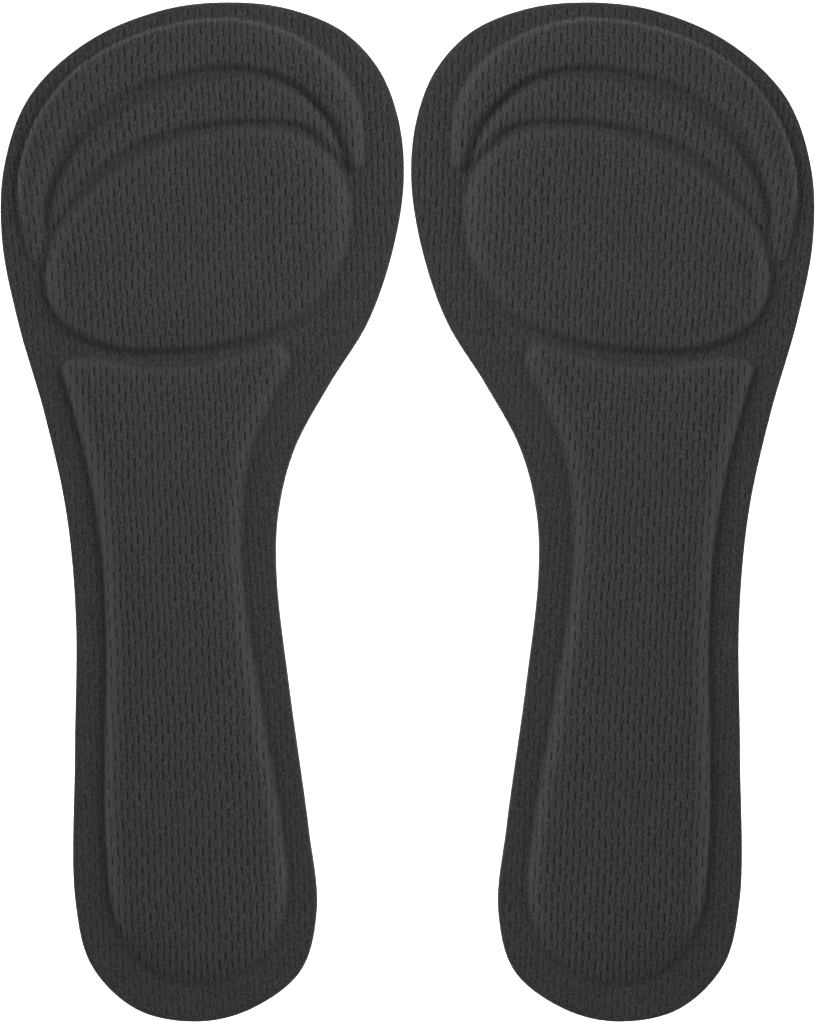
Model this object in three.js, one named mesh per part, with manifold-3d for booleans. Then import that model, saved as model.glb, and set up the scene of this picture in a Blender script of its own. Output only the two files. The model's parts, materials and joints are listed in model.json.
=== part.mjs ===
// A mirrored pair of thin, full-length cushioned shoe insoles, lying side by side.
// Each insole is a laminate, from the bottom up: peel-off release liners, adhesive patches,
// a backing cloth, a foam base, four raised foam pads and a mesh cover formed over the pads.
// The insole flexes along the groove behind the ball pad, so every layer that runs the whole
// length is held here as a forefoot piece and a rear piece that meet at that groove.
// Millimetres. X across the pair, Y towards the toes, Z up, Z = 0 on the floor.
import * as THREE from "three";
import { mergeVertices } from "three/addons/utils/BufferGeometryUtils.js";
import Module from "manifold-3d";

const wasm = await Module();
wasm.setup();

// Driving dimensions, in millimetres and degrees.
const PAIR_GAP = 1.5; // between the inner edges of the two insoles at the ball
const LINER_THICK = 0.125;
const ADHESIVE_THICK = 0.25;
const BACKING_THICK = 0.5;
const BASE_THICK = 2;
const COVER_THICK = 0.75;
const PAD_RISE = 2.75; // height of a foam pad above the foam base
const PAD_CLEARANCE = 0.3; // between a pad's sides and the cover formed round them
const PAD_WALL = 0.25; // upright foot of a pad's rounded side
const PAD_BURIED = 1; // upright side below the foam base's top, which is cut away
const FLEX_GAP = 0.6; // between the forefoot pieces and the rear pieces
const FLEX_MIDDLE = new THREE.Vector2(50, 32.5); // a point of the flex line
const FLEX_TILT = 5; // the flex line is nearer the toes on the inner side of the foot

// Each level is the top of one layer.
const LINER_TOP = LINER_THICK;
const ADHESIVE_TOP = LINER_TOP + ADHESIVE_THICK;
const BACKING_TOP = ADHESIVE_TOP + BACKING_THICK;
const BASE_TOP = BACKING_TOP + BASE_THICK;
const RIM_TOP = BASE_TOP + COVER_THICK;
const PAD_TOP = BASE_TOP + PAD_RISE;
const COVER_TOP = PAD_TOP + COVER_THICK;

// Plan outlines of one insole. Every point is [across, along]: across is counted from the
// inner edge of the ball towards the outer side of the foot, and along from the middle of
// the insole's length towards the toes.
const INSOLE_OUTLINE = [
  [35, 105], [23.5, 103.6], [12.5, 99], [5, 91], [1, 80.5], [0, 68.5], [2, 55], [7.2, 39.5],
  [15.5, 26], [22.5, 13], [25.8, 0], [26.2, -13], [23.6, -36], [19.6, -65], [17.9, -82],
  [21.2, -94.5], [31.5, -102.4], [42.5, -105], [55, -102.5], [64.3, -93.5], [67.7, -80],
  [67.8, -50], [67.6, -22], [69.6, 0], [74, 20], [79.6, 39.5], [82.8, 56], [82.4, 71],
  [77.2, 85.5], [65, 97], [49, 103.6],
];
const BALL_PAD_OUTLINE = [
  [73.5, 46.5], [71.5, 58], [62, 68.5], [49, 75.5], [35.5, 78.5], [23, 77.8], [14, 71.5],
  [11.2, 62], [13.2, 51], [21, 40.5], [33.5, 35.4], [47, 34], [61, 34.6], [70.5, 39.5],
];
const ARCH_PAD_OUTLINE = [
  [68.8, 26.6], [67.8, 21.5], [65, 10], [62, -8], [61, -28.5], [61.3, -49], [61, -70],
  [58.5, -86], [51.5, -94.5], [43, -97], [34.5, -95], [27.3, -89.5], [24.3, -79],
  [25.5, -64.5], [30.3, -36], [33, -18], [33.6, -1], [31.8, 12.5], [27.8, 23],
  [25.8, 27.6], [28.8, 31.8], [38, 30.2], [51, 29], [65.4, 29.4],
];
const FOREFOOT_PATCH_OUTLINE = [
  [36, 97], [19, 92.5], [9, 80], [7.5, 66], [12.5, 51], [26, 40.5], [50, 38], [68, 39.5],
  [75.5, 54], [74.5, 71], [64, 87.5], [50, 95],
];
const REAR_PATCH_OUTLINE = [
  [33.5, 23], [35, 0], [33, -28], [28, -60], [25, -80], [30.5, -93], [43, -98], [55, -94],
  [61, -82], [61.2, -50], [61.6, -20], [63.5, 3], [65.5, 21], [50, 24],
];
const LINER_MARGIN = 1.5; // the release liner reaches this far past its adhesive patch

// A toe pad is a crescent: a bent middle line with a width that swells towards its middle.
const OUTER_TOE_MIDDLE = [[75.8, 57], [77, 69], [72, 83], [63.6, 90.6], [50, 95.8], [36, 97],
  [24, 94.6], [16.5, 88.4], [12.2, 80.6], [10.6, 74.4]];
const OUTER_TOE_WIDTH = { end: 4.6, middle: 9.8 };
const INNER_TOE_MIDDLE = [[69.6, 66.2], [64.6, 73], [56.6, 78.8], [46.4, 82.8], [34.6, 84.6],
  [24.6, 82.8], [18.6, 78.8]];
const INNER_TOE_WIDTH = { end: 4.6, middle: 8.4 };

// How far the rounded side of each pad runs in from its edge.
const BALL_SHOULDER = 2.4;
const ARCH_SHOULDER = 1.2;
const TOE_SHOULDER = 0.9;

const BEYOND = 400; // a length that reaches well past the pair on every side
const WELD = 1e-4; // corners nearer than this are one corner

// Facets along each outline.
const OUTLINE_STEPS_PER_POINT = 2;
const CRESCENT_STEPS = 11;
const CRESCENT_CAP_STEPS = 4;
const SHOULDER_STEPS = 2;

const COLOURS = {
  mesh_knit: { color: 0x3a3a3b, roughness: 0.95, metalness: 0 },
  soft_foam: { color: 0x2c2c2e, roughness: 0.9, metalness: 0 },
  base_foam: { color: 0x242426, roughness: 0.85, metalness: 0 },
  backing_cloth: { color: 0x1e1e20, roughness: 0.9, metalness: 0 },
  adhesive: { color: 0xd9d2bd, roughness: 0.4, metalness: 0 },
  release_paper: { color: 0xf0eee6, roughness: 0.55, metalness: 0 },
};

function material(name) {
  return new THREE.MeshStandardMaterial(COLOURS[name]);
}

// Outlines. Side is -1 for the left foot and 1 for the right foot, which mirrors the plan.

function smoothLoop(points, side) {
  const knots = points.map(([across, along]) => new THREE.Vector3(side * across, along, 0));
  const curve = new THREE.CatmullRomCurve3(knots, true, "centripetal");
  const loop = curve.getPoints(points.length * OUTLINE_STEPS_PER_POINT);
  loop.pop();
  return loop.map((point) => new THREE.Vector2(point.x, point.y));
}

function crescentLoop(middle, width, side) {
  const knots = middle.map(([across, along]) => new THREE.Vector3(side * across, along, 0));
  const curve = new THREE.CatmullRomCurve3(knots, false, "centripetal");
  const edges = [[], []];
  for (let step = 0; step <= CRESCENT_STEPS; step += 1) {
    const t = step / CRESCENT_STEPS;
    const swell = Math.sqrt(Math.sin(Math.PI * t));
    const half = (width.end + (width.middle - width.end) * swell) / 2;
    const place = curve.getPointAt(t);
    const along = curve.getTangentAt(t);
    edges[0].push(new THREE.Vector2(place.x - along.y * half, place.y + along.x * half));
    edges[1].push(new THREE.Vector2(place.x + along.y * half, place.y - along.x * half));
  }
  const farCap = roundCap(curve.getPointAt(1), curve.getTangentAt(1), width.end / 2);
  const nearCap = roundCap(curve.getPointAt(0), curve.getTangentAt(0).negate(), width.end / 2);
  return [...edges[0], ...farCap, ...edges[1].reverse(), ...nearCap];
}

// The points of a half circle about centre, from its left to its right as seen along heading.
function roundCap(centre, heading, radius) {
  const cap = [];
  const left = Math.atan2(heading.y, heading.x) + Math.PI / 2;
  for (let step = 1; step < CRESCENT_CAP_STEPS; step += 1) {
    const angle = left - (Math.PI * step) / CRESCENT_CAP_STEPS;
    const x = centre.x + radius * Math.cos(angle);
    const y = centre.y + radius * Math.sin(angle);
    cap.push(new THREE.Vector2(x, y));
  }
  return cap;
}

// Solids.

function toManifold(geometry) {
  const bare = geometry.clone();
  bare.deleteAttribute("normal");
  bare.deleteAttribute("uv");
  const merged = mergeVertices(bare, WELD);
  const vertProperties = Float32Array.from(merged.attributes.position.array);
  const triVerts = Uint32Array.from(merged.index.array);
  return new wasm.Manifold(new wasm.Mesh({ numProp: 3, vertProperties, triVerts }));
}

function toGeometry(solid) {
  const mesh = solid.getMesh();
  const positions = new Float32Array(mesh.numVert * 3);
  for (let vertex = 0; vertex < mesh.numVert; vertex += 1) {
    const start = vertex * mesh.numProp;
    positions.set(mesh.vertProperties.subarray(start, start + 3), vertex * 3);
  }
  const geometry = new THREE.BufferGeometry();
  geometry.setAttribute("position", new THREE.BufferAttribute(positions, 3));
  geometry.setIndex(new THREE.BufferAttribute(Uint32Array.from(mesh.triVerts), 1));
  geometry.computeVertexNormals();
  return geometry;
}

// A flat sheet from bottom to top.
function sheet(loop, bottom, top) {
  const shape = new THREE.Shape(loop);
  const geometry = new THREE.ExtrudeGeometry(shape, { depth: top - bottom, bevelEnabled: false });
  return toManifold(geometry.translate(0, 0, bottom));
}

// A cushion with a flat foot on the foam base, rounded sides and a flat top. Inset moves the
// whole side in from the outline, and shoulder is how far in the rounding runs.
function cushion(loop, top, inset, shoulder) {
  const geometry = new THREE.ExtrudeGeometry(new THREE.Shape(loop), {
    depth: PAD_WALL + PAD_BURIED,
    bevelThickness: top - BASE_TOP - PAD_WALL,
    bevelSize: shoulder,
    bevelOffset: -shoulder - inset,
    bevelSegments: SHOULDER_STEPS,
  });
  geometry.translate(0, 0, BASE_TOP - PAD_BURIED);
  return toManifold(geometry).subtract(belowBase());
}

function belowBase() {
  const block = new THREE.BoxGeometry(BEYOND, BEYOND, BEYOND);
  return toManifold(block.translate(0, 0, BASE_TOP - BEYOND / 2));
}

// The half of space on the toe side (direction 1) or the heel side (-1) of the flex line,
// kept half of the flex gap away from it.
function halfSpace(side, direction) {
  const block = new THREE.BoxGeometry(BEYOND, BEYOND, BEYOND);
  block.translate(0, (direction * (BEYOND + FLEX_GAP)) / 2, 0);
  block.rotateZ(THREE.MathUtils.degToRad(-side * FLEX_TILT));
  block.translate(side * FLEX_MIDDLE.x, FLEX_MIDDLE.y, 0);
  return toManifold(block);
}

// The insole's pads, each with its outline, its shoulder and the half that it belongs to.
function padPlans(side) {
  return [
    {
      name: "toe_pad_outer",
      loop: crescentLoop(OUTER_TOE_MIDDLE, OUTER_TOE_WIDTH, side),
      shoulder: TOE_SHOULDER,
      half: "forefoot",
    },
    {
      name: "toe_pad_inner",
      loop: crescentLoop(INNER_TOE_MIDDLE, INNER_TOE_WIDTH, side),
      shoulder: TOE_SHOULDER,
      half: "forefoot",
    },
    {
      name: "ball_pad",
      loop: smoothLoop(BALL_PAD_OUTLINE, side),
      shoulder: BALL_SHOULDER,
      half: "forefoot",
    },
    {
      name: "arch_heel_pad",
      loop: smoothLoop(ARCH_PAD_OUTLINE, side),
      shoulder: ARCH_SHOULDER,
      half: "rear",
    },
  ];
}

function foamPad(plan) {
  return cushion(plan.loop, PAD_TOP, COVER_THICK + PAD_CLEARANCE, plan.shoulder);
}

// The cover lies flat on the foam base round the rim and is formed up over each pad.
function meshCover(outline, pads) {
  let cover = sheet(outline, BASE_TOP, RIM_TOP);
  for (const plan of pads) {
    cover = cover.add(cushion(plan.loop, COVER_TOP, 0, plan.shoulder));
  }
  for (const plan of pads) {
    cover = cover.subtract(cushion(plan.loop, PAD_TOP, COVER_THICK, plan.shoulder));
  }
  return cover;
}

// An outline grown evenly by a margin.
function grownLoop(loop, margin) {
  const grown = [];
  const turn = THREE.ShapeUtils.isClockWise(loop) ? -1 : 1;
  for (let i = 0; i < loop.length; i += 1) {
    const before = loop[(i + loop.length - 1) % loop.length];
    const after = loop[(i + 1) % loop.length];
    const heading = after.clone().sub(before).normalize();
    const outward = new THREE.Vector2(heading.y, -heading.x).multiplyScalar(turn * margin);
    grown.push(loop[i].clone().add(outward));
  }
  return grown;
}

function addMesh(group, name, solid, materialName) {
  const mesh = new THREE.Mesh(toGeometry(solid), material(materialName));
  mesh.name = name;
  group.add(mesh);
}

function insole(foot, side) {
  const group = new THREE.Group();
  group.position.x = (side * PAIR_GAP) / 2;
  const outline = smoothLoop(INSOLE_OUTLINE, side);
  const pads = padPlans(side);
  const cover = meshCover(outline, pads);
  const base = sheet(outline, BACKING_TOP, BASE_TOP);
  const backing = sheet(outline, ADHESIVE_TOP, BACKING_TOP);
  const patches = { forefoot: FOREFOOT_PATCH_OUTLINE, rear: REAR_PATCH_OUTLINE };
  for (const half of ["forefoot", "rear"]) {
    const space = halfSpace(side, half === "forefoot" ? 1 : -1);
    const patch = smoothLoop(patches[half], side);
    const adhesive = sheet(patch, LINER_TOP, ADHESIVE_TOP);
    const liner = sheet(grownLoop(patch, LINER_MARGIN), 0, LINER_TOP);
    addMesh(group, `${foot}_mesh_cover_${half}`, cover.intersect(space), "mesh_knit");
    addMesh(group, `${foot}_foam_base_${half}`, base.intersect(space), "base_foam");
    addMesh(group, `${foot}_backing_cloth_${half}`, backing.intersect(space), "backing_cloth");
    addMesh(group, `${foot}_adhesive_${half}`, adhesive, "adhesive");
    addMesh(group, `${foot}_release_liner_${half}`, liner, "release_paper");
  }
  for (const plan of pads) {
    addMesh(group, `${foot}_${plan.name}`, foamPad(plan), "soft_foam");
  }
  return group;
}

const pair = new THREE.Group();
pair.add(insole("left", -1));
pair.add(insole("right", 1));

export default pair;
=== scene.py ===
import json
import math

import bpy
import numpy as np
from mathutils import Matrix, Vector
from mathutils.geometry import delaunay_2d_cdt


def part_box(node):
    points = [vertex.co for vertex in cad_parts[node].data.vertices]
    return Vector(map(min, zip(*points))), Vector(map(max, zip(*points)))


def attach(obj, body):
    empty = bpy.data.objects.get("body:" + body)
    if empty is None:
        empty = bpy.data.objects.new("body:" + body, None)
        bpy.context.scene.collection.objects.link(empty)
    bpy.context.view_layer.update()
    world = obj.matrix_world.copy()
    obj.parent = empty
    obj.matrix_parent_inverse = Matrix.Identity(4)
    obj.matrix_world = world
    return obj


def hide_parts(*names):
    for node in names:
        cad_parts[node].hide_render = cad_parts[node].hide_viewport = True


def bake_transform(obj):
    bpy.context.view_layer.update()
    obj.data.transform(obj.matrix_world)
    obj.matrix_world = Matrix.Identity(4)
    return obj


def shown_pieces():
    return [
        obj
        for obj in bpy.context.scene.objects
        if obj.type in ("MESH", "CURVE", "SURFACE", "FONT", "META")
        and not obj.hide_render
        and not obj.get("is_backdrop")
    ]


# A mirrored pair of cushioned shoe insoles. Each is a mesh cover formed over four foam pads, on a
# foam base with a backing cloth, two adhesive patches and their release liners. Every shape is
# worked out for the right insole in millimetres, and mirrored for the left one.

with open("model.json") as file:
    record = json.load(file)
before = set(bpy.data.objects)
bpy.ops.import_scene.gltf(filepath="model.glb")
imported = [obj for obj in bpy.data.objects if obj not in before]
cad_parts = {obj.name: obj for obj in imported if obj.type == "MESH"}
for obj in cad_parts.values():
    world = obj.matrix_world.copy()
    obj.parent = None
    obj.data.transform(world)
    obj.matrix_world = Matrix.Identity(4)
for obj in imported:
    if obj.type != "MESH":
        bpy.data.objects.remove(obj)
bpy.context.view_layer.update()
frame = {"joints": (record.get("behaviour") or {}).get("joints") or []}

MM = 0.001


def top_of(node):
    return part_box(node)[1].z / MM


# Levels of the layers, from the frame.
LINER_TOP = top_of("right_release_liner_rear")
ADHESIVE_TOP = top_of("right_adhesive_rear")
BACKING_TOP = top_of("right_backing_cloth_rear")
BASE_TOP = top_of("right_foam_base_rear")
PAD_TOP = top_of("right_arch_heel_pad")
COVER_TOP = top_of("right_mesh_cover_rear")
COVER_THICK = COVER_TOP - PAD_TOP
RIM_TOP = BASE_TOP + COVER_THICK
PAD_RISE = PAD_TOP - BASE_TOP
INNER_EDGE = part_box("right_mesh_cover_forefoot")[0].x / MM

# Plan outlines, as [across from the insole's inner edge, along from its middle].
INSOLE_OUTLINE = [
    [35, 105], [23.5, 103.6], [12.5, 99], [5, 91], [1, 80.5], [0, 68.5], [2, 55], [7.2, 39.5],
    [15.5, 26], [22.5, 13], [25.8, 0], [26.2, -13], [23.6, -36], [19.6, -65], [17.9, -82],
    [21.2, -94.5], [31.5, -102.4], [42.5, -105], [55, -102.5], [64.3, -93.5], [67.7, -80],
    [67.8, -50], [67.6, -22], [69.6, 0], [74, 20], [79.6, 39.5], [82.8, 56], [82.4, 71],
    [77.2, 85.5], [65, 97], [49, 103.6],
]
OUTER_TOE_OUTLINE = [
    [75, 52], [76.5, 51.5], [79, 61.5], [79, 70.5], [75.5, 81], [67.5, 91], [54, 98.5],
    [37, 101.5], [24.5, 99], [14, 92], [9, 82], [9, 71], [10.5, 70.5], [14, 79.5], [23, 88.5],
    [34, 91.5], [46.5, 90], [58.5, 85.5], [69, 77], [74, 64.5],
]
INNER_TOE_OUTLINE = [
    [73, 58], [71.5, 67], [65, 77.5], [53, 85], [39.5, 89], [28.5, 89], [20, 84.5], [14, 77],
    [12.5, 72.5], [13.5, 72.5], [20, 79], [30, 80.5], [41.5, 79.5], [54, 76], [65.5, 68],
]
BALL_OUTLINE = [
    [73.5, 46.5], [71.5, 58], [62, 68.5], [49, 75.5], [35.5, 78.5], [23, 77.8], [14, 71.5],
    [11.2, 62], [13.2, 51], [21, 40.5], [33.5, 35], [47, 33.3], [61, 34], [70.5, 39.5],
]
ARCH_OUTLINE = [
    [70, 30.5], [68.5, 23.5], [65, 10], [62, -8], [61, -28.5], [61.3, -49], [61, -70],
    [58.5, -86], [51.5, -94.5], [43, -97], [34.5, -95], [27.3, -89.5], [24.3, -79],
    [25.5, -64.5], [30.3, -36], [33, -18], [33.6, -1], [31.8, 12.5], [27, 24], [23.6, 31.5],
    [26, 34.6], [36, 31.5], [49, 29.5], [64, 31.2],
]
FOREFOOT_PATCH_OUTLINE = [
    [36, 97], [19, 92.5], [9, 80], [7.5, 66], [12.5, 51], [26, 40.5], [50, 38], [68, 39.5],
    [75.5, 54], [74.5, 71], [64, 87.5], [50, 95],
]
REAR_PATCH_OUTLINE = [
    [33.5, 23], [35, 0], [33, -28], [28, -60], [25, -80], [30.5, -93], [43, -98], [55, -94],
    [61, -82], [61.2, -50], [61.6, -20], [63.5, 3], [65.5, 21], [50, 24],
]
LINER_MARGIN = 1.5

# Each pad's outline, width of its rounded shoulder, share of the full rise, CAD node and bodies.
PADS = {
    "outer_toe_pad": (OUTER_TOE_OUTLINE, 2.6, 0.9, "toe_pad_outer", ["forefoot"]),
    "inner_toe_pad": (INNER_TOE_OUTLINE, 2.4, 0.86, "toe_pad_inner", ["forefoot"]),
    "ball_pad": (BALL_OUTLINE, 3.6, 1.0, "ball_pad", ["forefoot", "rear"]),
    "arch_heel_pad": (ARCH_OUTLINE, 3.6, 1.0, "arch_heel_pad", ["forefoot", "rear"]),
}
HEEL_SOFTENS = (-76, -96)  # between these places along, the arch pad's edge becomes a long slope
HEEL_SHOULDER = 10
SWELL = 0.4  # how far the foam swells at the most in the middle of a pad
CREASE_DEPTH = 0.06  # how far the cover is pressed down beside a pad
BRIDGE_RISE = 0.45  # how high the cover stays where it spans a narrow groove between two pads
BRIDGE_GAPS = (1.5, 4.5)  # widths of groove between which the cover goes down to the rim's level
SKIRT = 0.4  # how far the foot of a pad's side stands outside its outline
OUTER_TIP_FADES = (50, 68)  # between these places along, the toe pads' outer tips taper away
INNER_TIP_FADES = (71, 85)  # and so does the inner tip of the inner one
TOE_PADS = ("outer_toe_pad", "inner_toe_pad")

# Mesh knit: staggered columns of short slits between ribs of yarn.
COLUMN_PITCH = 1.24
SLIT_PITCH = 3.88
SLIT_HALF_WIDTH = 0.16
SLIT_HALF_LENGTH = 1.0
SLIT_DEPTH = 0.25
RIB_PLACES = (0, 0.13, 0.33, 0.67, 0.87)  # grid lines of one column, in column pitches
ROWS_PER_SLIT = 6

COARSE_STEP = 2.0
UNDERSIDE_STEP = 1.5
RIM_SPACING = 0.8
SPLINE_STEPS = 24


# ---------------------------------------------------------------- plan geometry


def smooth_loop(points, spacing=RIM_SPACING):
    """A closed centripetal spline through the points, as evenly spaced corners, anticlockwise."""
    knots = np.array(points, float) + [INNER_EDGE, 0]
    count = len(knots)
    line = []
    for i in range(count):
        p = [knots[(i + k - 1) % count] for k in range(4)]
        t = [0.0]
        for a, b in zip(p, p[1:]):
            t.append(t[-1] + math.sqrt(np.linalg.norm(b - a)))
        for u in np.linspace(t[1], t[2], SPLINE_STEPS, endpoint=False):
            a1 = mix(p[0], p[1], t[0], t[1], u)
            a2 = mix(p[1], p[2], t[1], t[2], u)
            a3 = mix(p[2], p[3], t[2], t[3], u)
            b1 = mix(a1, a2, t[0], t[2], u)
            b2 = mix(a2, a3, t[1], t[3], u)
            line.append(mix(b1, b2, t[1], t[2], u))
    line = np.array(line)
    closed = np.vstack([line, line[:1]])
    run = np.concatenate([[0], np.cumsum(np.linalg.norm(np.diff(closed, axis=0), axis=1))])
    corners = np.linspace(0, run[-1], int(round(run[-1] / spacing)), endpoint=False)
    even = np.stack([np.interp(corners, run, closed[:, k]) for k in range(2)], axis=1)
    return even if signed_area(even) > 0 else even[::-1]


def mix(a, b, ta, tb, t):
    """Between a at ta and b at tb."""
    return (a * (tb - t) + b * (t - ta)) / (tb - ta)


def signed_area(loop):
    x, y = loop[:, 0], loop[:, 1]
    return 0.5 * float(np.sum(x * np.roll(y, -1) - np.roll(x, -1) * y))


def grown(loop, margin):
    """The loop moved outwards by margin, or inwards where it is negative."""
    heading = np.roll(loop, -1, axis=0) - np.roll(loop, 1, axis=0)
    heading /= np.linalg.norm(heading, axis=1)[:, None]
    outward = np.stack([heading[:, 1], -heading[:, 0]], axis=1)
    return loop + outward * margin


def inset(loop, margin):
    """The loop moved inwards, without the parts that would cross where it is narrow."""
    moved = grown(loop, -margin)
    depth, _ = depth_inside(moved[:, 0], moved[:, 1], loop)
    return moved[depth > 0.96 * margin]


def depth_inside(x, y, loop, reach=4.0):
    """How far each point lies inside the loop, below zero outside it, and how much the nearest
    edge faces across. Points further than reach outside the loop's box get minus reach."""
    depth = np.full(x.shape, -reach)
    facing = np.zeros(x.shape)
    low, high = loop.min(0) - reach, loop.max(0) + reach
    near = (x > low[0]) & (x < high[0]) & (y > low[1]) & (y < high[1])
    index = np.flatnonzero(near)
    a = loop
    b = np.roll(loop, -1, axis=0)
    span = b - a
    length2 = (span**2).sum(1)
    slope = span[:, 0] / np.where(span[:, 1] == 0, 1e-12, span[:, 1])
    for part in np.array_split(index, max(1, len(index) // 4000)):
        px, py = x[part][:, None], y[part][:, None]
        ax, ay = px - a[:, 0], py - a[:, 1]
        t = np.clip((ax * span[:, 0] + ay * span[:, 1]) / length2, 0, 1)
        gap_x = ax - t * span[:, 0]
        gap2 = gap_x**2 + (ay - t * span[:, 1]) ** 2
        nearest = gap2.argmin(1)
        rows = np.arange(len(part))
        gap = np.sqrt(gap2[rows, nearest])
        crosses = ((a[:, 1] > py) != (b[:, 1] > py)) & (ax < ay * slope)
        inside = crosses.sum(1) % 2 == 1
        depth[part] = np.where(inside, gap, -gap)
        facing[part] = gap_x[rows, nearest] / np.maximum(gap, 1e-6) * np.where(inside, -1, 1)
    return depth, facing


def knit_to_plan(p, q):
    """Where a point of the knit lies. Its columns lean a little, and more on the outer side of
    the toes and along the arch, and neither they nor its rows are quite straight."""
    across = p - INNER_EDGE
    outer_toe = np.exp(-(((across - 74) / 20) ** 2))
    arch = np.exp(-(((across - 30) / 12) ** 2))
    lean = 0.035 * q + 3.2 * outer_toe * (1 + np.tanh((q - 76) / 28)) + 0.9 * arch * np.tanh(q / 20)
    sway = 0.10 * np.sin(0.31 * q + 0.12 * p) + 0.06 * np.sin(0.9 * q - 0.4 * p)
    drift = 0.25 * np.sin(0.35 * p + 0.05 * q) + 0.14 * np.sin(1.1 * p - 0.21 * q)
    return p + lean + sway, q + drift


def plan_to_knit(x, y):
    p, q = x.copy(), y.copy()
    for _ in range(14):
        found_x, found_y = knit_to_plan(p, q)
        p = p - (found_x - x)
        q = q - (found_y - y)
    return p, q


def knit_lines(loop):
    """Grid lines that follow the knit: every slit has a line along its middle."""
    low, high = loop.min(0) - 9, loop.max(0) + 3
    columns = np.arange(math.floor(low[0] / COLUMN_PITCH), math.ceil(high[0] / COLUMN_PITCH))
    p_lines = (columns[:, None] + np.array(RIB_PLACES)).ravel() * COLUMN_PITCH
    step = SLIT_PITCH / ROWS_PER_SLIT
    q_lines = np.arange(math.floor(low[1] / step), math.ceil(high[1] / step)) * step
    return p_lines, q_lines


def even_lines(loop, step):
    """Evenly spaced grid lines that cover the loop, across and along."""
    low = np.floor(loop.min(0) / step)
    high = np.ceil(loop.max(0) / step) + 1
    return [np.arange(low[k], high[k]) * step for k in (0, 1)]


def stay(p, q):
    """The place of a grid point on a straight grid: where it is."""
    return p, q


def fill_loop(rim, lines, place=stay, find=stay):
    """A grid over the inside of the rim, joined to it by a strip of triangles. Returns the points,
    of which the first are the rim's own, and the faces, anticlockwise."""
    p_lines, q_lines = lines
    p, q = np.meshgrid(p_lines, q_lines, indexing="ij")
    x, y = place(p, q)
    margin = 0.5 * float(np.diff(q_lines).mean())
    depth, _ = depth_inside(x.ravel(), y.ravel(), rim, reach=2.0)
    inside = depth.reshape(x.shape) > margin
    kept = inside[:-1, :-1] & inside[1:, :-1] & inside[:-1, 1:] & inside[1:, 1:]
    used = np.zeros(inside.shape, bool)
    for di, dj in ((0, 0), (1, 0), (0, 1), (1, 1)):
        used[di : di + kept.shape[0], dj : dj + kept.shape[1]] |= kept
    number = np.full(inside.shape, -1)
    number[used] = len(rim) + np.arange(used.sum())
    points = np.vstack([rim, np.stack([x[used], y[used]], axis=1)])
    i, j = np.nonzero(kept)
    corners = (number[i, j], number[i + 1, j], number[i + 1, j + 1], number[i, j + 1])
    quads = np.stack(corners, axis=1)
    sides = np.vstack([quads[:, [k, (k + 1) % 4]] for k in range(4)])
    ordered = np.sort(sides, axis=1)
    _, first, uses = np.unique(ordered, axis=0, return_index=True, return_counts=True)
    ring = np.arange(len(rim))
    fixed = np.vstack([np.stack([ring, np.roll(ring, -1)], axis=1), sides[first[uses == 1]]])
    ids = np.unique(fixed)
    local = {int(v): k for k, v in enumerate(ids)}
    places = [Vector(points[v]) for v in ids]
    edges = [(local[int(a)], local[int(b)]) for a, b in fixed]
    _, _, triangles, origin, _, _ = delaunay_2d_cdt(places, edges, [], 0, 1e-7, True)
    back = [ids[o[0]] for o in origin]
    strip = np.array([[back[v] for v in t] for t in triangles])
    middle = points[strip].mean(axis=1)
    in_rim = depth_inside(middle[:, 0], middle[:, 1], rim, reach=2.0)[0] > 0
    mp, mq = find(middle[:, 0], middle[:, 1])
    ci = np.clip(np.searchsorted(p_lines, mp) - 1, 0, kept.shape[0] - 1)
    cj = np.clip(np.searchsorted(q_lines, mq) - 1, 0, kept.shape[1] - 1)
    strip = strip[in_rim & ~kept[ci, cj]]
    a = points[strip[:, 1]] - points[strip[:, 0]]
    b = points[strip[:, 2]] - points[strip[:, 0]]
    clockwise = a[:, 0] * b[:, 1] < a[:, 1] * b[:, 0]
    strip[clockwise] = strip[clockwise][:, ::-1]
    return points, quads.tolist() + strip.tolist()


# ---------------------------------------------------------------- closed layers


def closed_layer(loop, top, wall, bottom, top_fill, bottom_fill):
    """A closed sheet. Top and bottom give heights for plan points, and the fills make their
    grids. Wall lists the rings between them as [margin from the loop, height], downwards."""
    top_points, faces = top_fill(grown(loop, wall[0][0]))
    low_points, low_faces = bottom_fill(grown(loop, wall[-1][0]))
    count = len(loop)
    top_z = top(top_points[:, 0], top_points[:, 1])
    low_z = bottom(low_points[:, 0], low_points[:, 1])
    top_z[:count] = wall[0][1]
    low_z[:count] = wall[-1][1]
    places = [np.column_stack([top_points, top_z])]
    above, start = 0, len(top_points)
    for margin, height in wall[1:-1]:
        places.append(np.column_stack([grown(loop, margin), np.full(count, height)]))
        faces += bridge(above, start, count)
        above, start = start, start + count
    faces += bridge(above, start, count)
    places.append(np.column_stack([low_points, low_z]))
    faces += [[v + start for v in f[::-1]] for f in low_faces]
    return np.vstack(places), faces


def bridge(above, below, count):
    """Faces between two rings of count corners."""
    following = [(k + 1) % count for k in range(count)]
    return [[above + n, above + k, below + k, below + n] for k, n in enumerate(following)]


def coarse_fill(rim):
    return fill_loop(rim, even_lines(rim, COARSE_STEP))


def fine_fill(rim):
    return fill_loop(rim, even_lines(rim, UNDERSIDE_STEP))


def knit_fill(rim):
    return fill_loop(rim, knit_lines(rim), knit_to_plan, plan_to_knit)


def level(z):
    return lambda x, y: np.full(x.shape, float(z))


def flat_layer(outline, low, high, lip):
    """A sheet with a softly rounded cut edge."""
    thick = high - low
    wall = [
        (-lip, high),
        (-0.3 * lip, high - 0.15 * thick),
        (0, high - 0.5 * thick),
        (-0.3 * lip, low + 0.15 * thick),
        (-lip, low),
    ]
    return closed_layer(outline, level(high), wall, level(low), coarse_fill, coarse_fill)


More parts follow.
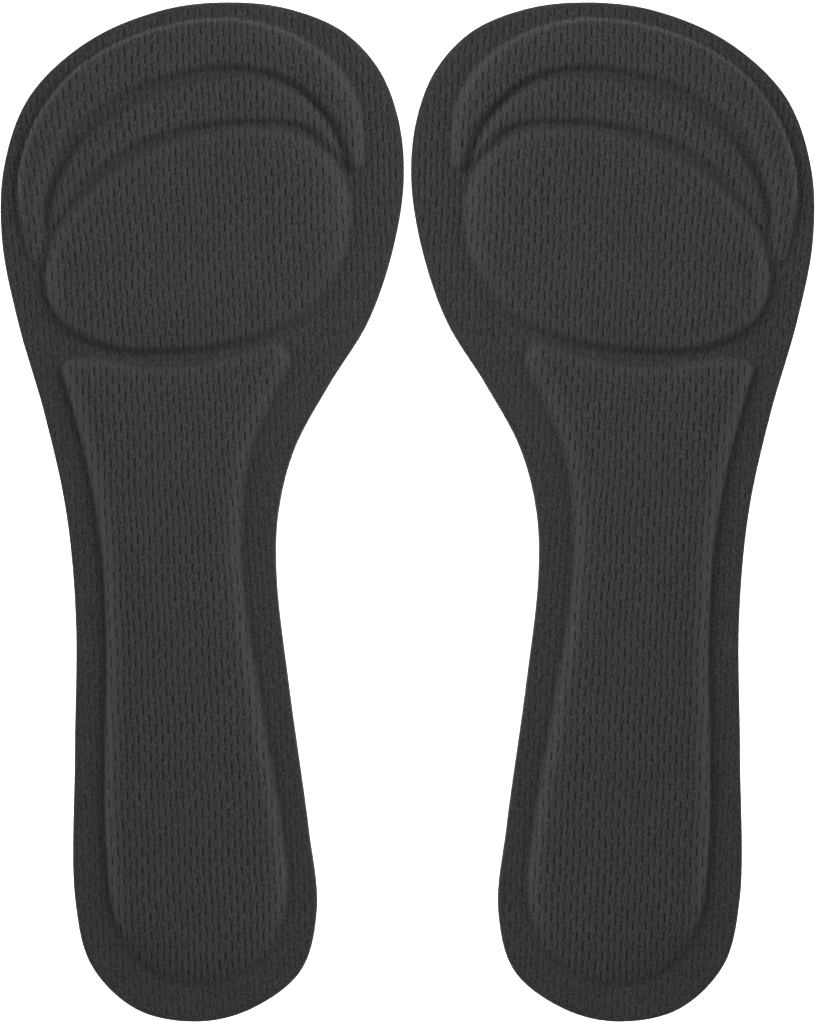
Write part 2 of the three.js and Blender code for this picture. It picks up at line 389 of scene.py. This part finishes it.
def new_piece(name, side, shape, material, fields=None):
    """An object from places in millimetres, mirrored for the left insole. The rest attribute keeps
    a pattern still on a piece that bends."""
    places, faces = shape
    if side < 0:
        faces = [f[::-1] for f in faces]
    mesh = bpy.data.meshes.new(name)
    mesh.from_pydata((places * [side * MM, MM, MM]).tolist(), [], faces)
    mesh.polygons.foreach_set("use_smooth", np.ones(len(mesh.polygons), bool))
    for field, values in {"rest_mm": places, **(fields or {})}.items():
        kind, slot = ("FLOAT_VECTOR", "vector") if values.ndim == 2 else ("FLOAT", "value")
        stored = mesh.attributes.new(field, kind, "POINT")
        stored.data.foreach_set(slot, values.astype(np.float32).ravel())
    mesh.update()
    mesh.materials.append(material)
    piece = bpy.data.objects.new(name, mesh)
    bpy.context.scene.collection.objects.link(piece)
    return piece


# ---------------------------------------------------------------- relief of the pads


def smoothstep(a, b, v):
    t = np.clip((v - a) / (b - a), 0, 1)
    return t * t * (3 - 2 * t)


def shoulder(depth, width):
    """Rise of a pad's rounded side, from 0 at its foot to 1 at its top."""
    t = np.clip(depth / width, 0, 1)
    foot = smoothstep(0, 0.5, depth)
    return (1 - (1 - t) ** 2.4) * (0.5 + 0.5 * foot)


def pad_body(name, x, y, depth, facing):
    """Rise of a pad without its swell, and how softly it ends: 0 for a firm edge, 1 at the heel
    and at the outer tips of the toe pads.
    Its shoulder is widest on the insole's inner side and narrow along its grooves."""
    _, width, share, _, _ = PADS[name]
    width = width * (0.5 + 0.5 * np.clip(-facing, 0, 1) + 0.2 * np.clip(facing, 0, 1))
    soft = np.zeros(x.shape)
    if name == "arch_heel_pad":
        soft = smoothstep(*HEEL_SOFTENS, y)
        width = width + (HEEL_SHOULDER - width) * soft
    if name in TOE_PADS:
        soft = (1 - smoothstep(*OUTER_TIP_FADES, y)) * smoothstep(40, 60, x)
    if name == "inner_toe_pad":
        soft = np.maximum(soft, (1 - smoothstep(*INNER_TIP_FADES, y)) * smoothstep(32, 24, x))
    if name in TOE_PADS:
        share = share * (1 - 0.6 * soft)
    return (PAD_RISE - SWELL) * share * shoulder(depth, width), soft


def relief(x, y, swell, margin=0.0):
    """Height of the pads above the layer that carries them, with their sides moved in by margin.
    Also returns the share of painted highlight on the pads' side shoulders, and how near each point
    is to a pad."""
    rise = np.zeros(x.shape)
    stretched = np.zeros(x.shape)
    near = np.full(x.shape, -4.0)
    second = np.full(x.shape, -4.0)
    for name, (outline, *_) in PADS.items():
        depth, facing = depth_inside(x, y, smooth_loop(outline))
        body, soft = pad_body(name, x, y, depth + SKIRT - margin, facing)
        rise = np.maximum(rise, body + swell(name, x, y, depth - margin))
        # Painted highlight: bands along the pads' side shoulders, weighted by which way each edge
        # faces, lighten the knit's colour in place of side light and sheen.
        inner_side = np.clip(-facing, 0, 1) ** 1.5 * (1 - smoothstep(0.5, 5.2, depth))
        outer_side = np.clip(facing, 0, 1) ** 2 * (1 - smoothstep(0.4, 4.2, depth))
        end_side = (1 - facing**2) * (1 - smoothstep(0.3, 2.5, depth))
        outer_share, end_share = (0.4, 0.12) if name in TOE_PADS else (1.6, 0.6)
        side = 0.75 * inner_side + outer_share * outer_side + end_share * end_side
        firm = smoothstep(-0.9, 0.2, depth) * (1 - 0.7 * soft)
        stretched = np.maximum(stretched, firm * side)
        second = np.maximum(second, np.minimum(near, depth))
        near = np.maximum(near, depth)
    narrow = 1 - smoothstep(*BRIDGE_GAPS, -near - second)
    bridged = BRIDGE_RISE * narrow * (1 - smoothstep(-0.3, 0.8, near))
    rise = np.hypot(rise, bridged)
    crease = CREASE_DEPTH * np.exp(-(((near + 0.9) / 0.55) ** 2)) * (margin == 0)
    return rise - crease, stretched, near


# ---------------------------------------------------------------- swelling by cloth simulation

SIM_SCALE = 20  # cloth behaves best at about the size of a person, so pads are simulated larger
SIM_STEP = 1.5
SIM_FRAMES = 20
SIM_PRESSURE = 3.5


def simulated_swell():
    """Pumps up each pad's skin with its foot pinned down, and returns how far the skin rises."""
    grids = {name: swell_grid(name) for name in PADS}

    def swell(name, x, y, depth):
        x_lines, y_lines, lift = grids[name]
        return sample_grid(x_lines, y_lines, lift, x, y) * (depth > 0)

    return swell


def swell_grid(name):
    """How far the skin of one pad rises when it is pumped up: grid lines and a value for each
    crossing. The rise levels off towards SWELL."""
    outline, _, share, _, _ = PADS[name]
    loop = smooth_loop(outline)
    lines = even_lines(loop, SIM_STEP)
    body = (PAD_RISE - SWELL) * share

    def top(x, y):
        return pad_body(name, x, y, *depth_inside(x, y, loop))[0]

    def fill(rim):
        return fill_loop(rim, lines)

    wall = [(-0.2, 0.1 * body), (0, 0)]
    places, faces = closed_layer(loop, top, wall, level(0), fill, coarse_fill)
    piece = new_piece("swell_" + name, 1, (places * SIM_SCALE, faces), None)
    depth = depth_inside(places[:, 0], places[:, 1], loop)[0]
    free = (places[:, 2] > 0.3 * body) & (depth > 0.6)
    pins = piece.vertex_groups.new(name="pins")
    pins.add(np.flatnonzero(~free).tolist(), 1.0, "REPLACE")
    moved = run_cloth(piece)
    lift = (moved[:, 2] / SIM_SCALE / MM - places[:, 2]) * free
    lift = SWELL * share * (1 - np.exp(-np.clip(lift, 0, None) / (SWELL * share)))
    column = np.rint((places[:, 0] - lines[0][0]) / SIM_STEP).astype(int)
    row = np.rint((places[:, 1] - lines[1][0]) / SIM_STEP).astype(int)
    grid = np.zeros((len(lines[0]), len(lines[1])))
    grid[column[free], row[free]] = lift[free]
    return lines[0], lines[1], softened(grid)


def run_cloth(piece):
    """Places of the piece's vertices after its cloth has been pumped up. Removes the piece."""
    cloth = piece.modifiers.new("cloth", "CLOTH")
    settings = cloth.settings
    settings.quality = 5
    settings.mass = 0.3
    settings.tension_stiffness = 15
    settings.compression_stiffness = 15
    settings.bending_stiffness = 0.5
    settings.use_pressure = True
    settings.uniform_pressure_force = SIM_PRESSURE
    settings.effector_weights.gravity = 0
    settings.vertex_group_mass = "pins"
    cloth.point_cache.frame_start = 1
    cloth.point_cache.frame_end = SIM_FRAMES
    scene = bpy.context.scene
    for number in range(1, SIM_FRAMES + 1):
        scene.frame_set(number)
    settled = piece.evaluated_get(bpy.context.evaluated_depsgraph_get())
    mesh = settled.to_mesh()
    moved = np.zeros(len(mesh.vertices) * 3, np.float32)
    mesh.vertices.foreach_get("co", moved)
    settled.to_mesh_clear()
    scene.frame_set(1)
    used = piece.data
    bpy.data.objects.remove(piece)
    bpy.data.meshes.remove(used)
    return moved.reshape(-1, 3).astype(float)


def softened(grid, rounds=3):
    for _ in range(rounds):
        wide = np.pad(grid, 1)
        beside = wide[:-2, 1:-1] + wide[2:, 1:-1] + wide[1:-1, :-2] + wide[1:-1, 2:]
        grid = np.where(grid > 0, 0.5 * grid + 0.125 * beside, grid)
    return grid


def sample_grid(x_lines, y_lines, values, x, y):
    """Values between the lines of an even grid."""
    u = np.clip((x - x_lines[0]) / (x_lines[1] - x_lines[0]), 0, len(x_lines) - 1.001)
    v = np.clip((y - y_lines[0]) / (y_lines[1] - y_lines[0]), 0, len(y_lines) - 1.001)
    i, j = u.astype(int), v.astype(int)
    u, v = u - i, v - j
    low = values[i, j] * (1 - u) + values[i + 1, j] * u
    high = values[i, j + 1] * (1 - u) + values[i + 1, j + 1] * u
    return low * (1 - v) + high * v


# ---------------------------------------------------------------- the knit's own relief


def slit_share(p, q):
    """1 in the middle of a slit and 0 on the yarn beside it."""
    column = np.round(p / COLUMN_PITCH)
    across = np.abs(p - column * COLUMN_PITCH)
    phase = q / SLIT_PITCH + 0.5 * (column % 2)
    along = np.abs(phase - np.round(phase)) * SLIT_PITCH
    ends = 1 - smoothstep(0.6 * SLIT_HALF_LENGTH, 1.3 * SLIT_HALF_LENGTH, along)
    return (1 - smoothstep(0, 1.4 * SLIT_HALF_WIDTH, across)) * ends


def rib_share(p):
    """1 on the ribs of yarn between the columns of slits."""
    across = np.abs(p / COLUMN_PITCH - np.round(p / COLUMN_PITCH))
    return smoothstep(0.1, 0.33, across)


RIB_HEIGHT = 0.06
RIM_OPENNESS = (0.62, 1.0)  # beside the arch, and around the toes
RIM_OPENS = (20, 70)  # between these places along, the first passes into the second


def cover_shape(outline, swell):
    """The mesh cover: places and faces, and the fields that its material reads."""

    def top(x, y):
        rise, _, near = relief(x, y, swell)
        p, q = plan_to_knit(x, y)
        open_share = openness(y, near, depth_inside(x, y, outline, 1.0)[0])
        knit = RIB_HEIGHT * rib_share(p) - SLIT_DEPTH * slit_share(p, q)
        return RIM_TOP + rise + open_share * knit

    def bottom(x, y):
        return BASE_TOP + relief(x, y, swell, COVER_THICK)[0]

    wall = [
        (-0.6, RIM_TOP - 0.02),
        (-0.28, RIM_TOP - 0.1),
        (-0.08, RIM_TOP - 0.28),
        (0, RIM_TOP - 0.5),
        (-0.03, BASE_TOP + 0.04),
        (-0.12, BASE_TOP),
    ]
    places, faces = closed_layer(outline, top, wall, bottom, knit_fill, fine_fill)
    x, y = places[:, 0], places[:, 1]
    p, q = plan_to_knit(x, y)
    _, stretched, near = relief(x, y, swell)
    open_share = openness(y, near, depth_inside(x, y, outline, 1.0)[0])
    fields = {
        "knit": np.column_stack([p / COLUMN_PITCH, q / SLIT_PITCH, open_share]),
        # painted highlight on the pads' side shoulders
        "stretched": stretched,
        # painted shade: darker off the pads, on the rim and in the grooves, most in a line just
        # outside each pad's foot
        "pressed": 1 - smoothstep(-0.3, 0.6, near) + 0.5 * np.exp(-(((near + 0.9) / 0.6) ** 2)),
    }
    return (places, faces), fields


def openness(y, near, edge_depth):
    """How open the knit's slits are: fully on the pads, less on the compressed rim, hardly at the
    pads' feet, and not at all at the cut edge."""
    on_pad = smoothstep(-0.3, 0.4, near)
    on_rim = mix(*RIM_OPENNESS, 0, 1, smoothstep(*RIM_OPENS, y))
    on_rim = on_rim * (1 - 0.6 * np.exp(-(((near + 0.7) / 0.4) ** 2)))
    return np.maximum(on_pad, on_rim) * smoothstep(0.5, 1.6, edge_depth)


def pad_shape(name, swell):
    """A foam pad, filling the space under the cover."""
    loop = inset(smooth_loop(PADS[name][0]), COVER_THICK + 0.18 - SKIRT)

    def top(x, y):
        depth, facing = depth_inside(x, y, loop)
        body, _ = pad_body(name, x, y, depth + 0.1, facing)
        return BASE_TOP + body + swell(name, x, y, depth) - 0.05

    wall = [(0, BASE_TOP + 0.28), (0.1, BASE_TOP + 0.18), (0.05, BASE_TOP + 0.03)]
    return closed_layer(loop, top, wall, level(BASE_TOP + 0.03), fine_fill, coarse_fill)


# ---------------------------------------------------------------- materials


class Nodes:
    """A small helper that builds one material's node tree."""

    def __init__(self, name):
        self.material = bpy.data.materials.new(name)
        self.material.use_nodes = True
        self.tree = self.material.node_tree
        self.shader = self.tree.nodes["Principled BSDF"]

    def add(self, kind, **settings):
        made = self.tree.nodes.new(kind)
        for key, value in settings.items():
            setattr(made, key, value)
        return made

    def put(self, value, socket):
        """Sets a socket to a number or colour, or links an output to it."""
        if isinstance(value, tuple) and len(value) == 3 and len(socket.default_value) == 4:
            socket.default_value = (*value, 1.0)
        elif isinstance(value, (int, float, tuple)):
            socket.default_value = value
        else:
            self.tree.links.new(value, socket)

    def attribute(self, name):
        return self.add("ShaderNodeAttribute", attribute_name=name)

    def rest_place(self):
        return self.attribute("rest_mm").outputs["Vector"]

    def scaled(self, vector, scale, turn=0.0):
        mapping = self.add("ShaderNodeMapping")
        mapping.inputs["Scale"].default_value = scale
        mapping.inputs["Rotation"].default_value = (0, 0, math.radians(turn))
        self.put(vector, mapping.inputs["Vector"])
        return mapping.outputs["Vector"]

    def noise(self, vector, scale, detail=3.0, roughness=0.55):
        made = self.add("ShaderNodeTexNoise")
        made.inputs["Scale"].default_value = scale
        made.inputs["Detail"].default_value = detail
        made.inputs["Roughness"].default_value = roughness
        self.put(vector, made.inputs["Vector"])
        return made.outputs["Fac"]

    def ramp(self, factor, stops):
        made = self.add("ShaderNodeValToRGB")
        ends = made.color_ramp.elements
        while len(ends) < len(stops):
            ends.new(0.5)
        for end, (place, colour) in zip(ends, stops):
            end.position = place
            end.color = (*colour, 1.0)
        self.put(factor, made.inputs["Fac"])
        return made.outputs["Color"]

    def math(self, operation, *values, clamp=False):
        made = self.add("ShaderNodeMath", operation=operation, use_clamp=clamp)
        for socket, value in zip(made.inputs, values):
            self.put(value, socket)
        return made.outputs["Value"]

    def fade(self, value, start, end):
        """0 up to start and 1 from end on, or the other way round where end is below start."""
        made = self.add("ShaderNodeMapRange", interpolation_type="SMOOTHSTEP")
        self.put(value, made.inputs["Value"])
        low, high = min(start, end), max(start, end)
        made.inputs["From Min"].default_value = low
        made.inputs["From Max"].default_value = high
        made.inputs["To Min"].default_value = 0.0 if start < end else 1.0
        made.inputs["To Max"].default_value = 1.0 if start < end else 0.0
        return made.outputs["Result"]

    def colours(self, factor, a, b, mode="MIX"):
        made = self.add("ShaderNodeMix", data_type="RGBA", blend_type=mode)
        sockets = {s.name: s for s in made.inputs if s.enabled}
        self.put(factor, sockets["Factor"])
        self.put(a, sockets["A"])
        self.put(b, sockets["B"])
        return next(s for s in made.outputs if s.enabled)

    def bump(self, height, strength, distance):
        made = self.add("ShaderNodeBump")
        made.inputs["Strength"].default_value = strength
        made.inputs["Distance"].default_value = distance
        self.put(height, made.inputs["Height"])
        self.put(made.outputs["Normal"], self.shader.inputs["Normal"])

    def finish(self, colour, roughness, **shader_values):
        self.put(colour, self.shader.inputs["Base Color"])
        self.put(roughness, self.shader.inputs["Roughness"])
        for name, value in shader_values.items():
            self.put(value, self.shader.inputs[name.replace("_", " ")])
        return self.material


def knit_pattern(n):
    """The knit's slits, and a painted highlight on the ribs beside them, from the knit's own
    coordinates.
    """
    split = n.add("ShaderNodeSeparateXYZ")
    n.put(n.attribute("knit").outputs["Vector"], split.inputs["Vector"])
    u, v, open_share = (split.outputs[k] for k in "XYZ")
    column = n.math("ROUND", u)
    across = n.math("MULTIPLY", n.math("ABSOLUTE", n.math("SUBTRACT", u, column)), COLUMN_PITCH)
    odd = n.math("FLOORED_MODULO", column, 2.0)
    phase = n.math("MULTIPLY_ADD", odd, 0.5, v)
    row = n.math("ROUND", phase)
    offset = n.math("MULTIPLY", n.math("SUBTRACT", phase, row), SLIT_PITCH)
    cell = n.add("ShaderNodeCombineXYZ")
    n.put(column, cell.inputs["X"])
    n.put(row, cell.inputs["Y"])
    chance = n.add("ShaderNodeTexWhiteNoise", noise_dimensions="2D")
    n.put(cell.outputs["Vector"], chance.inputs["Vector"])
    dark = n.math("MULTIPLY_ADD", chance.outputs["Value"], 0.65, 0.3)
    tint = n.add("ShaderNodeSeparateColor")
    n.put(chance.outputs["Color"], tint.inputs["Color"])
    length = n.math("MULTIPLY_ADD", tint.outputs["Green"], 0.5, 0.92)
    along = n.math("MULTIPLY", n.math("ABSOLUTE", offset), length)
    broken = n.fade(n.noise(n.rest_place(), 1.1, 2.0), 0.25, 0.6)
    patchy = n.math("MULTIPLY_ADD", broken, 0.6, 0.5)
    two_dots = n.math("COSINE", n.math("MULTIPLY", n.math("SUBTRACT", along, 0.55), 5.2))
    dotted = n.math("MULTIPLY_ADD", two_dots, 0.18, 0.82)
    lower = n.math("MULTIPLY_ADD", n.fade(offset, 0.4, -0.4), 0.3, 0.8)
    ends = n.fade(along, 1.2 * SLIT_HALF_LENGTH, 0.85 * SLIT_HALF_LENGTH)
    slit = n.math("MULTIPLY", n.fade(across, 1.5 * SLIT_HALF_WIDTH, 0.5 * SLIT_HALF_WIDTH), ends)
    for factor in (dark, dotted, lower, patchy, open_share):
        slit = n.math("MULTIPLY", slit, factor)
    slit = n.math("MINIMUM", slit, 1.0)
    # Painted highlight: a lighter band on the yarn ribs beside each slit, where the ridges catch
    # the light.
    beside = n.math("MULTIPLY", n.fade(across, 0.26, 0.38), n.fade(across, 0.66, 0.5))
    lip = n.math("MULTIPLY", beside, n.fade(along, 1.7 * SLIT_HALF_LENGTH, 0.7 * SLIT_HALF_LENGTH))
    return slit, n.math("MULTIPLY", lip, open_share)


YARN_DARK = (0.009, 0.009, 0.0092)
YARN_LIGHT = (0.056, 0.056, 0.0565)
# painted highlight colour for the pads' side shoulders
YARN_SHOULDER_HIGHLIGHT = (0.085, 0.085, 0.086)
SLIT_COLOUR = (0.008, 0.008, 0.0082)


def knit_material():
    """Charcoal polyester mesh knit: heathered yarn, dark in its slits, with painted highlight on
    the ribs beside the slits and on the pads' side shoulders, and painted shade on the rim, in the
    grooves and along the pads' feet."""
    n = Nodes("mesh_knit")
    place = n.rest_place()
    slit, lip = knit_pattern(n)
    strands = n.noise(n.scaled(place, (3.8, 1.8, 2.0), 12), 1.0, 2.0, 0.6)
    specks = n.noise(n.scaled(place, (4.6, 3.4, 3.0), -40), 1.0, 2.0, 0.7)
    cloud = n.noise(place, 0.045, 2.0)
    heather = n.math("ADD", n.math("MULTIPLY", strands, 0.55), n.math("MULTIPLY", specks, 0.45))
    yarn = n.ramp(heather, [(0.39, YARN_DARK), (0.61, YARN_LIGHT)])
    yarn = n.colours(n.fade(cloud, 0.35, 0.7), yarn, (0.93, 0.93, 0.93), "MULTIPLY")
    # Painted highlight on the ribs beside the slits.
    rib_highlighted = n.colours(n.math("MULTIPLY", lip, 0.5), yarn, YARN_LIGHT)
    # Painted highlight: the knit is lightened on the pads' side shoulders.
    shoulder_highlight_share = n.math("MULTIPLY", n.attribute("stretched").outputs["Fac"], 0.2)
    pale = n.colours(shoulder_highlight_share, rib_highlighted, YARN_SHOULDER_HIGHLIGHT)
    # Painted shade: the knit is darkened on the rim, in the grooves and just outside each pad's
    # foot.
    pressed = n.math("MULTIPLY_ADD", n.attribute("pressed").outputs["Fac"], -0.08, 1.0)
    toned = n.add("ShaderNodeVectorMath", operation="SCALE")
    n.put(pale, toned.inputs[0])
    n.put(pressed, toned.inputs["Scale"])
    colour = n.colours(slit, toned.outputs["Vector"], SLIT_COLOUR)
    height = n.math("SUBTRACT", heather, n.math("MULTIPLY", slit, 1.2))
    n.bump(height, 0.55, 0.0002)
    return n.finish(
        colour, 0.88, Specular_IOR_Level=0.25, Sheen_Weight=0.15, Sheen_Roughness=0.45,
        Sheen_Tint=(0.8, 0.8, 0.82),
    )


def foam_material(name, dark, light, cell):
    """Fine open-cell foam: small pits of many sizes, a little lighter between them."""
    n = Nodes(name)
    place = n.rest_place()
    cells = n.add("ShaderNodeTexVoronoi", feature="F1")
    cells.inputs["Scale"].default_value = 1.0 / cell
    n.put(place, cells.inputs["Vector"])
    fine = n.noise(place, 2.2 / cell, 3.0)
    pits = n.math("MULTIPLY", cells.outputs["Distance"], fine)
    colour = n.ramp(pits, [(0.05, dark), (0.42, light)])
    n.bump(pits, 0.7, cell * MM * 0.6)
    return n.finish(colour, 0.92, Sheen_Weight=0.05)


def backing_material():
    """Plain-woven black lining cloth."""
    n = Nodes("backing_cloth")
    place = n.rest_place()
    threads = []
    for axis in ("X", "Y"):
        wave = n.add("ShaderNodeTexWave", wave_type="BANDS", bands_direction=axis)
        wave.inputs["Scale"].default_value = 0.34
        wave.inputs["Distortion"].default_value = 0.5
        n.put(place, wave.inputs["Vector"])
        threads.append(wave.outputs["Fac"])
    crossing = n.math("MULTIPLY", threads[0], threads[1])
    grain = n.noise(place, 1.4, 3.0)
    height = n.math("ADD", crossing, n.math("MULTIPLY", grain, 0.5))
    colour = n.ramp(height, [(0.1, (0.010, 0.010, 0.011)), (0.9, (0.034, 0.034, 0.036))])
    n.bump(height, 0.6, 0.00012)
    return n.finish(colour, 0.85, Sheen_Weight=0.1)


def adhesive_material():
    """Pressure-sensitive adhesive on a thin carrier: pale, a little glossy, finely stippled."""
    n = Nodes("adhesive")
    stipple = n.noise(n.rest_place(), 0.9, 4.0)
    colour = n.ramp(stipple, [(0.3, (0.60, 0.56, 0.44)), (0.7, (0.74, 0.70, 0.58))])
    rough = n.math("MULTIPLY_ADD", n.fade(stipple, 0.3, 0.7), 0.22, 0.28)
    n.bump(stipple, 0.4, 0.00008)
    return n.finish(colour, rough)


def liner_material():
    """Silicone-coated release paper with faint fibres."""
    n = Nodes("release_paper")
    place = n.rest_place()
    fibres = n.noise(n.scaled(place, (1.0, 0.35, 1.0)), 0.8, 5.0, 0.65)
    cloud = n.noise(place, 0.06, 2.0)
    mixed = n.math("ADD", n.math("MULTIPLY", fibres, 0.7), n.math("MULTIPLY", cloud, 0.3))
    colour = n.ramp(mixed, [(0.3, (0.78, 0.755, 0.69)), (0.7, (0.88, 0.865, 0.81))])
    n.bump(fibres, 0.25, 0.00006)
    return n.finish(colour, 0.5)


def floor_material():
    return Nodes("studio_floor").finish((0.9, 0.9, 0.9), 0.7)


# ---------------------------------------------------------------- one insole from its pieces


def bend(piece, foot):
    """Reads the foot's flex joint and bakes the piece's transform into its mesh."""
    joint = next(j for j in frame["joints"] if j["name"] == foot + "_flex")
    rearward = Vector(joint["axis"]).normalized().cross(Vector((0, 0, 1)))
    if rearward.y > 0:
        rearward.negate()
    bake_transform(piece)


def all_shapes():
    """Every shape of the right insole, as places and faces."""
    swell = simulated_swell()
    outline = smooth_loop(INSOLE_OUTLINE)
    shapes = {
        "mesh_cover": cover_shape(outline, swell),
        "foam_base": (flat_layer(outline, BACKING_TOP, BASE_TOP, 0.18), None),
        "backing_cloth": (flat_layer(outline, ADHESIVE_TOP, BACKING_TOP, 0.1), None),
    }
    for name in PADS:
        shapes[name + "_foam"] = (pad_shape(name, swell), None)
    for half, patch in (("forefoot", FOREFOOT_PATCH_OUTLINE), ("rear", REAR_PATCH_OUTLINE)):
        loop = smooth_loop(patch)
        shapes[half + "_adhesive_patch"] = (flat_layer(loop, LINER_TOP, ADHESIVE_TOP, 0.08), None)
        paper = flat_layer(grown(loop, LINER_MARGIN), 0, LINER_TOP, 0.03)
        shapes[half + "_release_liner"] = (paper, None)
    return shapes


def build_insole(foot, side, shapes, materials):
    def make(name, material):
        shape, fields = shapes[name]
        piece = new_piece(f"{foot}_{name}", side, shape, materials[material], fields)
        return piece

    halves = ("forefoot", "rear")
    outline = smooth_loop(INSOLE_OUTLINE)

    for name, (_, _, _, node, bodies) in PADS.items():
        pad = make(name + "_foam", "pad_foam")
        if len(bodies) == 2:
            bend(pad, foot)
        else:
            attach(pad, f"{foot}_{bodies[0]}")
        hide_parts(f"{foot}_{node}")

    for half, liner_body in zip(halves, ("front_liner", "rear_liner")):
        adhesive = make(half + "_adhesive_patch", "adhesive")
        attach(adhesive, f"{foot}_{half}")
        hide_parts(f"{foot}_adhesive_{half}")
        liner = make(half + "_release_liner", "liner")
        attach(liner, f"{foot}_{liner_body}")
        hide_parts(f"{foot}_release_liner_{half}")

    for name, material, slot in (
        ("mesh_cover", "knit", "mesh_knit"),
        ("foam_base", "base_foam", "base_foam"),
        ("backing_cloth", "backing", "backing_cloth"),
    ):
        piece = make(name, material)
        bend(piece, foot)
        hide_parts(*[f"{foot}_{name}_{half}" for half in halves])
        if name == "foam_base":
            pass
        elif name == "mesh_cover":
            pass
        else:
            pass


# ---------------------------------------------------------------- camera, floor and light

VIEW_HEIGHT = 0.2108  # what the picture's height takes in at the rim's level, in metres
LENS = 200
SENSOR = 36


def make_camera():
    data = bpy.data.cameras.new("camera")
    data.lens = LENS
    data.sensor_width = SENSOR
    data.clip_start = 0.05
    camera = bpy.data.objects.new("camera", data)
    camera.location = (0, 0, RIM_TOP * MM + VIEW_HEIGHT * LENS / SENSOR)
    bpy.context.scene.collection.objects.link(camera)
    bpy.context.scene.camera = camera


FLOOR_GAP = 0.0002  # keeps the floor just clear of the liners, in metres


def make_floor():
    half = 3.0
    mesh = bpy.data.meshes.new("floor")
    corners = [(-half, -half, 0), (half, -half, 0), (half, half, 0), (-half, half, 0)]
    mesh.from_pydata(corners, [], [(0, 1, 2, 3)])
    mesh.materials.append(floor_material())
    floor = bpy.data.objects.new("floor", mesh)
    floor.location.z = -FLOOR_GAP
    bpy.context.scene.collection.objects.link(floor)
    floor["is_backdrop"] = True
    return floor


def area_light(name, place, target, size, watts, receivers):
    """A soft rectangular light that lights only its receivers."""
    data = bpy.data.lights.new(name, "AREA")
    data.shape = "RECTANGLE"
    data.size, data.size_y = size
    data.energy = watts
    light = bpy.data.objects.new(name, data)
    light.location = place
    light.rotation_euler = (Vector(target) - Vector(place)).to_track_quat("-Z", "Y").to_euler()
    light.visible_camera = False
    bpy.context.scene.collection.objects.link(light)
    group = bpy.data.collections.new(name + "_receivers")
    for receiver in receivers:
        group.objects.link(receiver)
    light.light_linking.receiver_collection = group


def make_lights(floor):
    """Each insole has its own key light from the side of the other one and a weaker light from
    outside, as the photograph's light is mirrored with the insole. One soft light from the toes'
    end falls on both, and the floor is lit on its own."""
    insoles = []
    for foot, side in (("left", -1), ("right", 1)):
        lit = [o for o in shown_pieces() if o.type == "MESH" and o.name.startswith(foot)]
        insoles += lit
        target = (side * 0.045, 0.0, 0.0)
        key_place = (side * 0.045 - side * 0.42, 0.18, 0.34)
        area_light(foot + "_key", key_place, target, (0.32, 0.32), 2.6, lit)
        side_place = (side * 0.045 + side * 0.50, 0.06, 0.30)
        area_light(foot + "_side", side_place, target, (0.3, 0.3), 1.05, lit)
    area_light("top_fill", (0, 0.25, 0.5), (0, 0, 0), (0.5, 0.5), 0.95, insoles)
    area_light("floor_wash", (0, 0, 2.2), (0, 0, 0), (3.0, 3.0), 300, [floor])


def make_world():
    world = bpy.data.worlds.new("studio")
    world.use_nodes = True
    background = world.node_tree.nodes["Background"]
    background.inputs["Color"].default_value = (1, 1, 1, 1)
    background.inputs["Strength"].default_value = 0.2
    bpy.context.scene.world = world
    bpy.context.scene.view_settings.view_transform = "Standard"


# ---------------------------------------------------------------- the scene

make_camera()
make_world()
materials = {
    "knit": knit_material(),
    "pad_foam": foam_material("pad_foam", (0.012, 0.012, 0.013), (0.05, 0.05, 0.053), 0.35),
    "base_foam": foam_material("base_foam", (0.008, 0.008, 0.009), (0.034, 0.034, 0.036), 0.3),
    "backing": backing_material(),
    "adhesive": adhesive_material(),
    "liner": liner_material(),
}
shapes = all_shapes()
for foot, side in (("left", -1), ("right", 1)):
    build_insole(foot, side, shapes, materials)
floor = make_floor()
make_lights(floor)
